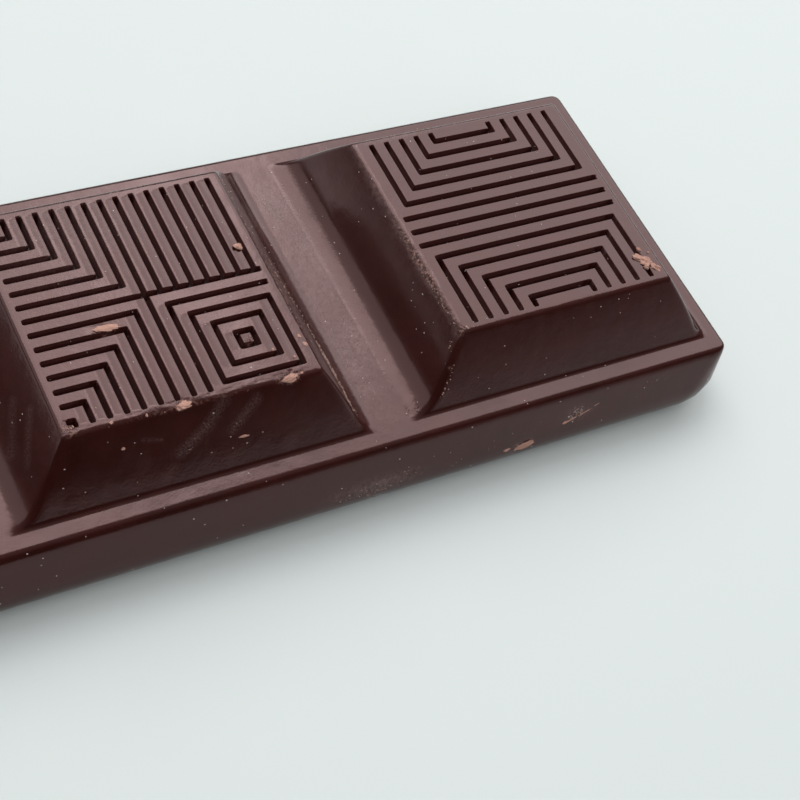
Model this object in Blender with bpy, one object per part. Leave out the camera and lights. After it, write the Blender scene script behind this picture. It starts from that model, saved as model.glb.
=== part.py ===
"""Moulded dark chocolate bar: one solid.

A flat slab carries a single row of raised square pads.  The pads' flat tops
are cut with shallow grooves: the two end pads with nested U shapes around
three straight rows, the middle pad with four quarters of nested right angles,
straight stripes and concentric squares.

Metres, +Z up.  The slab rests on z = 0, centred on the origin, its long side
along X.  The side seen first faces -Y.
"""
from math import acos, atan2, cos, pi, radians, sin, tan

import bmesh
import bpy
from mathutils import Vector

MM = 0.001

# Row of pads
PAD_COUNT = 3
PAD_PITCH = 36.0 * MM
PAD_HALF_TOP = 11.2 * MM
PAD_RISE = 5.7 * MM
PAD_SLOPE_RUN = 3.75 * MM
PAD_EDGE_ROUND = 0.3 * MM
PAD_CORNER_CUT = 0.35 * MM
VALLEY_FILLET = 3.6 * MM
END_FILLET = 1.9 * MM
FILLET_STEPS = 5

# Slab
SLAB_HEIGHT = 7.0 * MM
RIM_HALF_WIDTH = 16.4 * MM
RIM_PAST_PAD_CENTRE = 16.65 * MM
RIM_ROUND = 0.7 * MM
WALL_DRAFT = radians(22.0)
BASE_ROUND = 2.4 * MM
RIM_CORNER_RADIUS = 0.5 * MM
BASE_CORNER_RADIUS = 5.2 * MM
CORNER_STEPS = 5
RIM_ROUND_STEPS = 3
BASE_ROUND_STEPS = 5

# Grooves
END_PAD_LINES = 13
END_PAD_LINE_PITCH = 1.582 * MM
END_PAD_GROOVE_WIDTH = 0.56 * MM
MIDDLE_PAD_LINES = 15
MIDDLE_PAD_LINE_PITCH = 1.426 * MM
MIDDLE_PAD_GROOVE_WIDTH = 0.5 * MM
GROOVE_REACH = 10.62 * MM
ROW_DEPTH = 0.64 * MM
COLUMN_DEPTH = 0.7 * MM
GROOVE_WALL_DRAFT = radians(9.0)
CUTTER_RISE = 0.5 * MM
END_STEPS = 3

PAD_TOP_Z = SLAB_HEIGHT + PAD_RISE
ROW_CENTRES = [PAD_PITCH * (i - (PAD_COUNT - 1) / 2) for i in range(PAD_COUNT)]
RIM_HALF_LENGTH = ROW_CENTRES[-1] + RIM_PAST_PAD_CENTRE
SLOPE_FROM_LEVEL = atan2(PAD_RISE, PAD_SLOPE_RUN)


def clear_scene():
    for obj in list(bpy.data.objects):
        bpy.data.objects.remove(obj, do_unlink=True)


def make_material(name, color, roughness):
    """Principled material; color is linear RGB."""
    material = bpy.data.materials.new(name)
    material.use_nodes = True
    shader = material.node_tree.nodes["Principled BSDF"]
    shader.inputs["Base Color"].default_value = (*color, 1.0)
    shader.inputs["Roughness"].default_value = roughness
    shader.inputs["Metallic"].default_value = 0.0
    return material


def new_object(name, bm):
    mesh = bpy.data.meshes.new(name)
    bm.to_mesh(mesh)
    bm.free()
    obj = bpy.data.objects.new(name, mesh)
    bpy.context.scene.collection.objects.link(obj)
    return obj


def rounded_ring(half_x, half_y, radius, z):
    """Corner points of a rectangle with rounded corners, counter-clockwise from +X+Y."""
    points = []
    for quarter in range(4):
        mid = (quarter + 0.5) * pi / 2
        centre_x = (half_x - radius) * (1 if cos(mid) > 0 else -1)
        centre_y = (half_y - radius) * (1 if sin(mid) > 0 else -1)
        for step in range(CORNER_STEPS + 1):
            angle = (quarter + step / CORNER_STEPS) * pi / 2
            points.append((centre_x + radius * cos(angle), centre_y + radius * sin(angle), z))
    return points


def wall_profile():
    """(offset outward from the rim's flat, depth below the rim) down the slab's side."""
    turn = pi / 2 - WALL_DRAFT
    profile = []
    for step in range(RIM_ROUND_STEPS + 1):
        angle = turn * step / RIM_ROUND_STEPS
        profile.append((RIM_ROUND * sin(angle), RIM_ROUND * (1 - cos(angle))))
    wall_top_offset, wall_top_depth = profile[-1]
    wall_foot_depth = SLAB_HEIGHT - BASE_ROUND * (1 + sin(WALL_DRAFT))
    wall_foot_offset = wall_top_offset + (wall_foot_depth - wall_top_depth) * tan(WALL_DRAFT)
    centre_offset = wall_foot_offset - BASE_ROUND * cos(WALL_DRAFT)
    centre_depth = SLAB_HEIGHT - BASE_ROUND
    for step in range(BASE_ROUND_STEPS + 1):
        angle = -WALL_DRAFT + (pi / 2 + WALL_DRAFT) * step / BASE_ROUND_STEPS
        profile.append((centre_offset + BASE_ROUND * cos(angle), centre_depth + BASE_ROUND * sin(angle)))
    return profile


def corner_radius(offset, depth):
    """The slab's corners are tight at the rim and open out towards the base."""
    share = min(1.0, depth / (SLAB_HEIGHT - BASE_ROUND))
    radius = RIM_CORNER_RADIUS + (BASE_CORNER_RADIUS - RIM_CORNER_RADIUS) * share
    return radius + min(offset, RIM_ROUND)


def fillet_offset(height, radius):
    """How far a concave foot fillet stands out from the straight slope at a height above the rim."""
    reach = radius * tan(SLOPE_FROM_LEVEL / 2)
    if height >= reach * sin(SLOPE_FROM_LEVEL):
        return 0.0
    angle = acos(1 - height / radius)
    from_virtual_foot = reach - radius * sin(angle)
    on_slope = -height / tan(SLOPE_FROM_LEVEL)
    return from_virtual_foot - on_slope


def edge_round_inset(height):
    """How far the top edge's rounding draws the side in at a height above the rim."""
    reach = PAD_EDGE_ROUND * tan(SLOPE_FROM_LEVEL / 2)
    below_top = PAD_RISE - height
    if below_top >= reach * sin(SLOPE_FROM_LEVEL):
        return 0.0
    angle = acos(1 - below_top / PAD_EDGE_ROUND)
    from_virtual_edge = -reach + PAD_EDGE_ROUND * sin(angle)
    return below_top / tan(SLOPE_FROM_LEVEL) - from_virtual_edge


def pad_levels():
    """Heights above the rim at which a pad's outline is taken, from its foot to its top."""
    levels = []
    for step in range(FILLET_STEPS + 1):
        angle = SLOPE_FROM_LEVEL * step / FILLET_STEPS
        levels.append(VALLEY_FILLET * (1 - cos(angle)))
    for step in (2, 1, 0):
        angle = SLOPE_FROM_LEVEL * step / 2
        levels.append(PAD_RISE - PAD_EDGE_ROUND * (1 - cos(angle)))
    return levels


def pad_ring(centre_x, height, fillets):
    """A pad's outline at a height above the rim; fillets are the -X and the +X foot radius."""
    half = PAD_HALF_TOP + (PAD_RISE - height) / tan(SLOPE_FROM_LEVEL) - edge_round_inset(height)
    left = half + fillet_offset(height, fillets[0])
    right = half + fillet_offset(height, fillets[1])
    cut = PAD_CORNER_CUT
    z = SLAB_HEIGHT + height
    return [
        (centre_x + right, half - cut, z),
        (centre_x + right - cut, half, z),
        (centre_x - left + cut, half, z),
        (centre_x - left, half - cut, z),
        (centre_x - left, cut - half, z),
        (centre_x - left + cut, -half, z),
        (centre_x + right - cut, -half, z),
        (centre_x + right, cut - half, z),
    ]


def add_ring(bm, points):
    return [bm.verts.new(point) for point in points]


def ring_edges(bm, ring):
    edges = []
    for start, end in zip(ring, ring[1:] + ring[:1]):
        edge = bm.edges.get((start, end))
        edges.append(edge if edge else bm.edges.new((start, end)))
    return edges


def join_rings(bm, lower, upper):
    count = len(lower)
    for i in range(count):
        j = (i + 1) % count
        bm.faces.new((lower[i], lower[j], upper[j], upper[i]))


def make_body():
    """The slab and its pads as one closed skin, the pads' tops still plain."""
    bm = bmesh.new()
    rings = []
    for offset, depth in reversed(wall_profile()):
        half_x = RIM_HALF_LENGTH + offset
        half_y = RIM_HALF_WIDTH + offset
        radius = corner_radius(offset, depth)
        rings.append(add_ring(bm, rounded_ring(half_x, half_y, radius, SLAB_HEIGHT - depth)))
    for lower, upper in zip(rings, rings[1:]):
        join_rings(bm, lower, upper)
    bm.faces.new(list(reversed(rings[0])))
    rim_edges = ring_edges(bm, rings[-1])

    for index, centre_x in enumerate(ROW_CENTRES):
        left_fillet = END_FILLET if index == 0 else VALLEY_FILLET
        right_fillet = END_FILLET if index == PAD_COUNT - 1 else VALLEY_FILLET
        pad_rings = []
        for height in pad_levels():
            pad_rings.append(add_ring(bm, pad_ring(centre_x, height, (left_fillet, right_fillet))))
        for lower, upper in zip(pad_rings, pad_rings[1:]):
            join_rings(bm, lower, upper)
        bm.faces.new(pad_rings[-1])
        rim_edges += ring_edges(bm, pad_rings[0])

    bmesh.ops.triangle_fill(bm, edges=rim_edges, use_beauty=True, normal=(0.0, 0.0, 1.0))
    bmesh.ops.recalc_face_normals(bm, faces=bm.faces)
    return new_object("chocolate_bar", bm)


def stroke_outline(path, half_width, closed):
    """Outlines around a right-angled path: one loop, or an outer and an inner loop when closed."""
    points = [Vector(point) for point in path]
    count = len(points)

    def side(sign):
        loop = []
        for i in range(count):
            before = points[i] - points[i - 1] if (closed or i > 0) else None
            after = points[(i + 1) % count] - points[i] if (closed or i < count - 1) else None
            before = (before or after).normalized()
            after = (after or before).normalized()
            normal = Vector((-before.y, before.x))
            if (before - after).length > 0.001:
                normal = normal + Vector((-after.y, after.x))
            loop.append(points[i] + normal * half_width * sign)
        return loop

    if closed:
        return [side(-1), side(1)]
    left = side(1)
    right = side(-1)

    def cap(centre, start_angle):
        arc = []
        for step in range(1, END_STEPS):
            angle = start_angle - pi * step / END_STEPS
            arc.append(centre + Vector((cos(angle), sin(angle))) * half_width)
        return arc

    first = points[1] - points[0]
    last = points[-1] - points[-2]
    end_cap = cap(points[-1], atan2(last.y, last.x) + pi / 2)
    start_cap = cap(points[0], atan2(first.y, first.x) - pi / 2)
    return [list(reversed(left + end_cap + list(reversed(right)) + start_cap))]


def add_groove(bm, path, width, depth, closed=False):
    """A closed, drafted cutter that leaves one groove of the given top width and depth."""
    draft = tan(GROOVE_WALL_DRAFT)
    floor = stroke_outline(path, width / 2 - depth * draft, closed)
    roof = stroke_outline(path, width / 2 + CUTTER_RISE * draft, closed)
    floor_edges = []
    roof_edges = []
    for floor_loop, roof_loop in zip(floor, roof):
        lower = add_ring(bm, [(p.x, p.y, PAD_TOP_Z - depth) for p in floor_loop])
        upper = add_ring(bm, [(p.x, p.y, PAD_TOP_Z + CUTTER_RISE) for p in roof_loop])
        join_rings(bm, lower, upper)
        floor_edges += ring_edges(bm, lower)
        roof_edges += ring_edges(bm, upper)
    bmesh.ops.triangle_fill(bm, edges=floor_edges, use_beauty=True, normal=(0.0, 0.0, -1.0))
    bmesh.ops.triangle_fill(bm, edges=roof_edges, use_beauty=True, normal=(0.0, 0.0, 1.0))


def line_places(count, pitch):
    return [pitch * (i - (count - 1) / 2) for i in range(count)]


def end_pad_paths(centre_x):
    """Nested U shapes open to the back and to the front, with three straight rows between them."""
    at = line_places(END_PAD_LINES, END_PAD_LINE_PITCH)
    nested = (END_PAD_LINES - 3) // 2
    end = GROOVE_REACH - END_PAD_GROOVE_WIDTH / 2
    paths = []
    for k in range(nested):
        for facing in (1, -1):
            bottom = facing * at[END_PAD_LINES - nested + k]
            left = centre_x + at[k]
            right = centre_x - at[k]
            paths.append([(left, facing * end), (left, bottom), (right, bottom), (right, facing * end)])
    for row in at[nested:END_PAD_LINES - nested]:
        paths.append([(centre_x - end, row), (centre_x + end, row)])
    return paths


def middle_pad_paths(centre_x):
    """(row-led paths, column paths, closed squares) of the pad cut in four quarters."""
    at = line_places(MIDDLE_PAD_LINES, MIDDLE_PAD_LINE_PITCH)
    mid = MIDDLE_PAD_LINES // 2
    end = GROOVE_REACH - MIDDLE_PAD_GROOVE_WIDTH / 2
    rows = []
    for k in range(mid):
        corner = at[k]
        rows.append([(centre_x - end, -corner), (centre_x + corner, -corner), (centre_x + corner, end)])
        rows.append([(centre_x - end, corner), (centre_x + corner, corner), (centre_x + corner, -end)])
    gamma = at[mid + 1]
    rows.append([(centre_x + gamma, -end), (centre_x + gamma, -gamma), (centre_x + end, -gamma)])
    columns = [[(centre_x + x, 0.0), (centre_x + x, end)] for x in at[mid + 1:]]
    squares = []
    for k in range((MIDDLE_PAD_LINES - mid - 2) // 2):
        low = at[mid + 2 + k]
        high = at[MIDDLE_PAD_LINES - 1 - k]
        squares.append([
            (centre_x + low, -low),
            (centre_x + low, -high),
            (centre_x + high, -high),
            (centre_x + high, -low),
        ])
    cross_row = [(centre_x - end, 0.0), (centre_x + end, 0.0)]
    cross_column = [(centre_x, -end), (centre_x, end)]
    return rows, columns, squares, cross_row, cross_column


def make_cutters():
    """Two cutters; the grooves inside each one stay clear of each other."""
    width = MIDDLE_PAD_GROOVE_WIDTH
    rows, columns, squares, cross_row, cross_column = middle_pad_paths(ROW_CENTRES[PAD_COUNT // 2])
    first = bmesh.new()
    for centre_x in (ROW_CENTRES[0], ROW_CENTRES[-1]):
        for path in end_pad_paths(centre_x):
            add_groove(first, path, END_PAD_GROOVE_WIDTH, ROW_DEPTH)
    for path in rows:
        add_groove(first, path, width, ROW_DEPTH)
    for path in squares:
        add_groove(first, path, width, ROW_DEPTH, closed=True)
    add_groove(first, cross_row, width, ROW_DEPTH)
    second = bmesh.new()
    for path in columns + [cross_column]:
        add_groove(second, path, width, COLUMN_DEPTH)
    cutters = []
    for name, bm in (("row_groove_cutter", first), ("column_groove_cutter", second)):
        bmesh.ops.recalc_face_normals(bm, faces=bm.faces)
        cutter = new_object(name, bm)
        cutter.hide_render = True
        cutter.display_type = "WIRE"
        cutters.append(cutter)
    return cutters


def cut(body, cutter):
    """Cut with an exact Boolean and keep the result as the body's own mesh."""
    modifier = body.modifiers.new(cutter.name, "BOOLEAN")
    modifier.operation = "DIFFERENCE"
    modifier.solver = "EXACT"
    modifier.object = cutter
    evaluated = body.evaluated_get(bpy.context.evaluated_depsgraph_get())
    mesh = bpy.data.meshes.new_from_object(evaluated)
    body.modifiers.remove(modifier)
    body.data = mesh
    bpy.data.objects.remove(cutter, do_unlink=True)


def main():
    clear_scene()
    body = make_body()
    for cutter in make_cutters():
        cut(body, cutter)
    body.data.name = body.name
    body.data.materials.clear()
    body.data.materials.append(make_material("dark_chocolate", (0.055, 0.024, 0.019), 0.35))


main()
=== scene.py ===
"""Dark moulded chocolate bar: a row of raised pads cut with fine grooves, with crumbs and dust."""

import random
from functools import partial
from math import acos, atan2, cos, exp, pi, radians, sin, tan

import bmesh
import bpy
from bpy.props import FloatProperty, FloatVectorProperty, IntProperty, PointerProperty
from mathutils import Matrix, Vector, noise


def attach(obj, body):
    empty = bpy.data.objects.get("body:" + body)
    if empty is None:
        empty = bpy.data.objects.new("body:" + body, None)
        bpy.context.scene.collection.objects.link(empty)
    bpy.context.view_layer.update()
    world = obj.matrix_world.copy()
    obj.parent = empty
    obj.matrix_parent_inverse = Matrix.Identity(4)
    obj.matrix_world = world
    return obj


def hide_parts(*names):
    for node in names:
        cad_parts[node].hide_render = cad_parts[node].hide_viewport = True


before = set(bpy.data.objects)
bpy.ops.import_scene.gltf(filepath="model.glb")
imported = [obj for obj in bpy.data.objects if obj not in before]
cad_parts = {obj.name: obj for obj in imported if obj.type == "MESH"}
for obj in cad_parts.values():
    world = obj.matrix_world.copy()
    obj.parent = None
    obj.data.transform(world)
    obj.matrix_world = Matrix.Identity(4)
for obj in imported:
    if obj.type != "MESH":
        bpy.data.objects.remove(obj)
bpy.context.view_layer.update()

bl_info = {
    "name": "Moulded Chocolate Bar",
    "version": (1, 0, 0),
    "blender": (4, 5, 0),
    "location": "3D View > Sidebar > Chocolate",
    "description": "Builds a dark moulded chocolate bar with grooved pads, crumbs and dust",
    "category": "Add Mesh",
}

MM = 0.001

# The row of pads. Where a size differs from the CAD's, the comment says so.
PAD_COUNT = 3
PAD_PITCH = 36.0 * MM
PAD_HALF_TOP = 11.2 * MM
PAD_RISE = 5.7 * MM
PAD_SLOPE_RUN = 3.75 * MM
PAD_EDGE_ROUND = 0.5 * MM  # softer than the CAD's, so the edge catches the light
PAD_SLOPE_CROWN = 0.16 * MM  # only here: the sides swell a little
PAD_CORNER_TOP = 0.35 * MM
PAD_CORNER_FOOT = 0.6 * MM  # only here: the corner opens out towards the foot
VALLEY_FILLET = 3.6 * MM
VALLEY_FAR_FILLET = 2.2 * MM  # only here: the CAD has the same fillet on both sides
END_FILLET = 1.9 * MM
FRONT_FILLET = 0.45 * MM  # only here: the CAD's pads meet the rim in a sharp line
SLOPE = atan2(PAD_RISE, PAD_SLOPE_RUN)

# The slab
SLAB_HEIGHT = 7.0 * MM
RIM_HALF_WIDTH = 16.4 * MM
RIM_PAST_PAD_CENTRE = 16.65 * MM
RIM_ROUND = 0.7 * MM
RIM_CORNER_RADIUS = 0.25 * MM  # half the CAD's, for a crisp corner
WALL_TILT = 22.0
WALL_DRAFT = radians(WALL_TILT)
BASE_TILT = -90.0
BASE_ROUND = 2.4 * MM
BASE_CORNER_RADIUS = 5.2 * MM
# The rim's edge: face tilt from and to in degrees, bend radius, steps. Tight first, then slack.
RIM_BENDS = [(90.0, 42.0, 0.6 * MM, 5), (42.0, WALL_TILT, 1.9 * MM, 4)]
PAD_TOP_Z = SLAB_HEIGHT + PAD_RISE
PAD_CENTRES = [PAD_PITCH * (i - (PAD_COUNT - 1) / 2) for i in range(PAD_COUNT)]
RIM_HALF_LENGTH = PAD_CENTRES[-1] + RIM_PAST_PAD_CENTRE

# The grooves, where the CAD has them. Their widths and depth are settings.
END_PAD_LINES = 13
END_PAD_LINE_PITCH = 1.582 * MM
MIDDLE_PAD_LINES = 15
MIDDLE_PAD_LINE_PITCH = 1.426 * MM
GROOVE_REACH = 10.62 * MM
# A groove's side: how far in from its edge the floor and the flat begin, and the fall between
GROOVE_FLOOR_AT = -0.125 * MM
GROOVE_FLAT_AT = -0.003 * MM
GROOVE_FALL = [(0.0, 1.0), (0.1, 0.97), (0.44, 0.16), (0.75, 0.02), (1.0, 0.0)]
# The thin walls left standing across grooves, and the faint second lines beside them
RIDGE_AT = 0.05 * MM
RIDGE_SPREAD = (0.02 * MM, 0.06 * MM)
RIDGE_SHARE = 0.85
FAINT_LINE_AT = 0.13 * MM
FAINT_LINE_HALF = 0.09 * MM
FAINT_LINE_SPREAD = (0.01 * MM, 0.05 * MM)
FAINT_LINE_DEPTH = 0.13 * MM
UPRIGHT_WITHIN = 0.01 * MM

# How finely the skin is divided
SIDE_STEPS = 56
CORNER_STEPS = 6
FRONT_FILLET_STEPS = 3
VALLEY_FILLET_STEPS = 9
FILLET_GAP = 1.6  # the valley fillet's rings start this many times above the front one's
PAD_SIDE_HEIGHTS = (2.1, 2.7, 3.3, 3.9, 4.5, 5.0, 5.35)
EDGE_ROUND_STEPS = 4
RIM_RING_SHARES = (0.35, 0.7, 0.94)
WALL_STEPS = 6
BASE_ROUND_STEPS = 8
TOP_GRID_HALF = 10.72 * MM
GROOVE_EDGE_LINES = (0.05 * MM, 0.0, -0.06 * MM, -0.15 * MM)
GUARD = 0.08 * MM  # narrow strips that keep a shaded edge crisp
BASE_RINGS = (GUARD, 4 * MM)
SAME_PLACE = 0.0005 * MM  # points closer than this are merged


def in_scene(name, data):
    """A new object with the given data, linked to the scene."""
    made = bpy.data.objects.new(name, data)
    bpy.context.scene.collection.objects.link(made)
    return made


def linear(hex_colour):
    """sRGB hex to linear RGB."""
    channels = [int(hex_colour[i:i + 2], 16) / 255 for i in (1, 3, 5)]
    return tuple(c / 12.92 if c <= 0.04045 else ((c + 0.055) / 1.055) ** 2.4 for c in channels)


def shade(colour, share=1.0):
    """A linear RGB colour, or a darker one of the same hue, as an opaque RGBA."""
    return (*(c * share for c in colour), 1.0)


def add_node(tree, kind, inputs=(), **settings):
    """Adds a node. Each input is a value, an output socket, or a node that feeds its first output."""
    node = tree.nodes.new(kind)
    for name, value in settings.items():
        setattr(node, name, value)
    for key, value in inputs.items() if isinstance(inputs, dict) else enumerate(inputs):
        if isinstance(value, bpy.types.Node):
            value = value.outputs[0]
        if isinstance(value, bpy.types.NodeSocket):
            tree.links.new(value, node.inputs[key])
        else:
            node.inputs[key].default_value = value
    return node


# ---------------------------------------------------------------- settings

LENGTH = {"subtype": "DISTANCE", "unit": "LENGTH"}
COLOUR = {"subtype": "COLOR", "min": 0.0, "max": 1.0}


class BarSettings(bpy.types.PropertyGroup):
    end_groove_width: FloatProperty(
        name="End Pad Groove Width",
        description="Width of the grooves on the two end pads at the top",
        default=0.6 * MM,
        **LENGTH,
    )
    middle_groove_width: FloatProperty(
        name="Middle Pad Groove Width",
        description="Width of the grooves on the middle pad at the top",
        default=0.55 * MM,
        **LENGTH,
    )
    groove_depth: FloatProperty(
        name="Groove Depth",
        description="How deep the moulded lines go",
        default=1.0 * MM,
        **LENGTH,
    )
    groove_waver: FloatProperty(
        name="Groove Waver",
        description="How far a groove's edge wanders from a straight line",
        default=0.03 * MM,
        **LENGTH,
    )
    unevenness: FloatProperty(
        name="Unevenness",
        description="Depth of the gentle hollows that setting leaves in the skin",
        default=0.032 * MM,
        **LENGTH,
    )
    wear_depth: FloatProperty(
        name="Wear Depth",
        description="How deep the crumbled edges are broken away",
        default=0.22 * MM,
        **LENGTH,
    )
    seed: IntProperty(name="Seed", description="Changes the hollows and broken edges", default=4)


class ChocolateSettings(bpy.types.PropertyGroup):
    body_colour: FloatVectorProperty(
        name="Chocolate",
        description="Colour of the dark chocolate itself",
        default=linear("#30110E"),
        **COLOUR,
    )
    # This paler brown is also laid as painted highlight along the pads' front edges.
    broken_and_edge_highlight_colour: FloatVectorProperty(
        name="Broken Chocolate",
        description="Paler brown of crumbs and freshly broken edges",
        default=linear("#BE9182"),
        **COLOUR,
    )
    # This grey is also laid as painted highlight along pad edges and on the middle pad's back lands.
    bloom_and_highlight_colour: FloatVectorProperty(
        name="Bloom",
        description="Grey film that cocoa butter and rubbing leave on the skin",
        default=linear("#9A8784"),
        **COLOUR,
    )
    roughness: FloatProperty(
        name="Roughness",
        description="0 is a mirror, 1 is fully matt",
        default=0.18,
        subtype="FACTOR",
        min=0.0,
        max=1.0,
    )


class CrumbSettings(bpy.types.PropertyGroup):
    dust_count: IntProperty(name="Dust Specks", description="How many specks are tried", default=560, min=0)
    dust_size: FloatProperty(
        name="Dust Size",
        description="Typical width of a dust speck",
        default=0.11 * MM,
        **LENGTH,
    )
    seed: IntProperty(name="Seed", description="Changes where the dust lies", default=11)


class StageSettings(bpy.types.PropertyGroup):
    floor_colour: FloatVectorProperty(
        name="Floor",
        description="Colour of the plain table top",
        default=linear("#C5CCCB"),
        **COLOUR,
    )
    sky_strength: FloatProperty(name="Sky", description="Brightness of the light all round", default=1.0)
    light_scale: FloatProperty(
        name="Soft Lights",
        description="Turns all the soft lights up or down together",
        default=1.0,
        min=0.0,
    )
    lens: FloatProperty(
        name="Lens",
        description="Focal length of the camera in millimetres",
        default=76.9,
        subtype="DISTANCE_CAMERA",
        unit="CAMERA",
    )


# ---------------------------------------------------------------- the bar's plain skin


def fillet_offset(height, radius):
    """How far a concave foot fillet stands out from the straight slope at a height above the rim."""
    reach = radius * tan(SLOPE / 2)
    if height >= reach * sin(SLOPE):
        return 0.0
    angle = acos(1 - height / radius)
    return reach - radius * sin(angle) + height / tan(SLOPE)


def edge_round_inset(height):
    """How far the top edge's rounding draws the side in at a height above the rim."""
    reach = PAD_EDGE_ROUND * tan(SLOPE / 2)
    below_top = PAD_RISE - height
    if below_top >= reach * sin(SLOPE):
        return 0.0
    angle = acos(1 - below_top / PAD_EDGE_ROUND)
    return below_top / tan(SLOPE) + reach - PAD_EDGE_ROUND * sin(angle)


def fillet_heights(radius, steps):
    return [radius * (1 - cos(SLOPE * i / steps)) for i in range(1, steps + 1)]


def pad_heights():
    """Heights above the rim at which a pad's outline is taken, foot to top."""
    heights = [0.0] + fillet_heights(FRONT_FILLET, FRONT_FILLET_STEPS)
    valley = fillet_heights(VALLEY_FILLET, VALLEY_FILLET_STEPS)
    heights += [h for h in valley if h > FILLET_GAP * heights[-1]]
    heights += [h * MM for h in PAD_SIDE_HEIGHTS]
    below_top = [0.0] + fillet_heights(PAD_EDGE_ROUND, EDGE_ROUND_STEPS)
    return heights + [PAD_RISE - h for h in reversed(below_top)]


def rounded_box(left, right, front, back, radii, z):
    """Outline points, counter-clockwise from the front end of the +X side; four corner radii from +X+Y."""
    centres = [
        (right - radii[0], back - radii[0]),
        (left + radii[1], back - radii[1]),
        (left + radii[2], front + radii[2]),
        (right - radii[3], front + radii[3]),
    ]
    points = []
    for side in range(4):
        before = centres[side - 1]
        after = centres[side]
        normal = Vector((cos(side * pi / 2), sin(side * pi / 2)))
        start = Vector(before) + normal * radii[side - 1]
        end = Vector(after) + normal * radii[side]
        for i in range(SIDE_STEPS + 1):
            point = start.lerp(end, i / SIDE_STEPS)
            points.append((point.x, point.y, z))
        for i in range(1, CORNER_STEPS):
            angle = (side + i / CORNER_STEPS) * pi / 2
            points.append((after[0] + radii[side] * cos(angle), after[1] + radii[side] * sin(angle), z))
    return points


def pad_outline(centre_x, height, fillets, inset=0.0):
    """A pad's outline at a height above the rim; fillets are the -X and the +X foot radius."""
    half = PAD_HALF_TOP + (PAD_RISE - height) / tan(SLOPE) - edge_round_inset(height) - inset
    half += PAD_SLOPE_CROWN * sin(pi * height / PAD_RISE)
    left = half + fillet_offset(height, fillets[0])
    right = half + fillet_offset(height, fillets[1])
    side = half + fillet_offset(height, FRONT_FILLET)
    radius = PAD_CORNER_TOP + (PAD_CORNER_FOOT - PAD_CORNER_TOP) * (1 - height / PAD_RISE)
    return rounded_box(
        centre_x - left, centre_x + right, -side, side, [radius] * 4, SLAB_HEIGHT + height
    )


def cell_outline(index, inset=0.0):
    """The piece of rim around one pad, out to the middle of the valleys and to the slab's edge."""
    first = index == 0
    last = index == PAD_COUNT - 1
    left = -RIM_HALF_LENGTH if first else PAD_CENTRES[index] - PAD_PITCH / 2
    right = RIM_HALF_LENGTH if last else PAD_CENTRES[index] + PAD_PITCH / 2
    radii = [
        RIM_CORNER_RADIUS * last,
        RIM_CORNER_RADIUS * first,
        RIM_CORNER_RADIUS * first,
        RIM_CORNER_RADIUS * last,
    ]
    return rounded_box(
        left + inset,
        right - inset,
        -RIM_HALF_WIDTH + inset,
        RIM_HALF_WIDTH - inset,
        radii,
        SLAB_HEIGHT,
    )


def between(first, second, share):
    return [Vector(a).lerp(Vector(b), share) for a, b in zip(first, second)]


def add_ring(bm, points):
    return [bm.verts.new(point) for point in points]


def join_rings(bm, outer, inner):
    count = len(outer)
    for i in range(count):
        j = (i + 1) % count
        bm.faces.new((outer[i], outer[j], inner[j], inner[i]))


def line_places(count, pitch):
    return [pitch * (i - (count - 1) / 2) for i in range(count)]


def grid_places(lines, pitch, width, low_side_lines):
    """Places of the grid lines across a pad's top: they hug both edges of every groove."""
    places = {TOP_GRID_HALF, -TOP_GRID_HALF}
    for centre in line_places(lines, pitch):
        for past_edge in GROOVE_EDGE_LINES:
            for side in (-1, 1):
                places.add(centre + side * (width / 2 + past_edge))
        for past_edge in low_side_lines:
            places.add(centre - width / 2 - past_edge)
    end_centre = GROOVE_REACH - width / 2
    for side in (-1, 1):
        places.add(side * end_centre)
        for past_edge in GROOVE_EDGE_LINES:
            places.add(side * (end_centre + width / 2 + past_edge))
    return sorted(places)


def square_share(point, centre_x):
    """How far round a square a point is, 0 to 4 from the front end of the +X side."""
    x = point.x - centre_x
    y = point.y
    if abs(x) >= abs(y) and x > 0:
        return (y / x + 1) / 2
    if abs(y) > abs(x) and y > 0:
        return 1 + (1 - x / y) / 2
    if abs(x) >= abs(y):
        return 2 + (y / x + 1) / 2
    return 3 + (1 - x / y) / 2


def from_start(ring, centre_x):
    """The ring with its first vertex the one nearest the front end of the +X side."""
    shares = [square_share(v.co, centre_x) for v in ring]
    first = min(range(len(ring)), key=lambda i: min(shares[i], 4 - shares[i]))
    turned = ring[first:] + ring[:first]
    shares = [square_share(v.co, centre_x) for v in turned]
    if shares[0] > 2:
        shares[0] -= 4
    return turned, shares


def zip_rings(bm, outer, inner, centre_x):
    """Joins two rings that have different numbers of points with a strip of triangles."""
    outer, outer_at = from_start(outer, centre_x)
    inner, inner_at = from_start(inner, centre_x)
    outer_at.append(outer_at[0] + 4)
    inner_at.append(inner_at[0] + 4)
    i = 0
    j = 0
    while i < len(outer) or j < len(inner):
        take_outer = j == len(inner) or (i < len(outer) and outer_at[i + 1] <= inner_at[j + 1])
        a = outer[i % len(outer)]
        b = inner[j % len(inner)]
        if take_outer:
            i += 1
            bm.faces.new((a, outer[i % len(outer)], b))
        else:
            j += 1
            bm.faces.new((a, inner[j % len(inner)], b))


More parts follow.
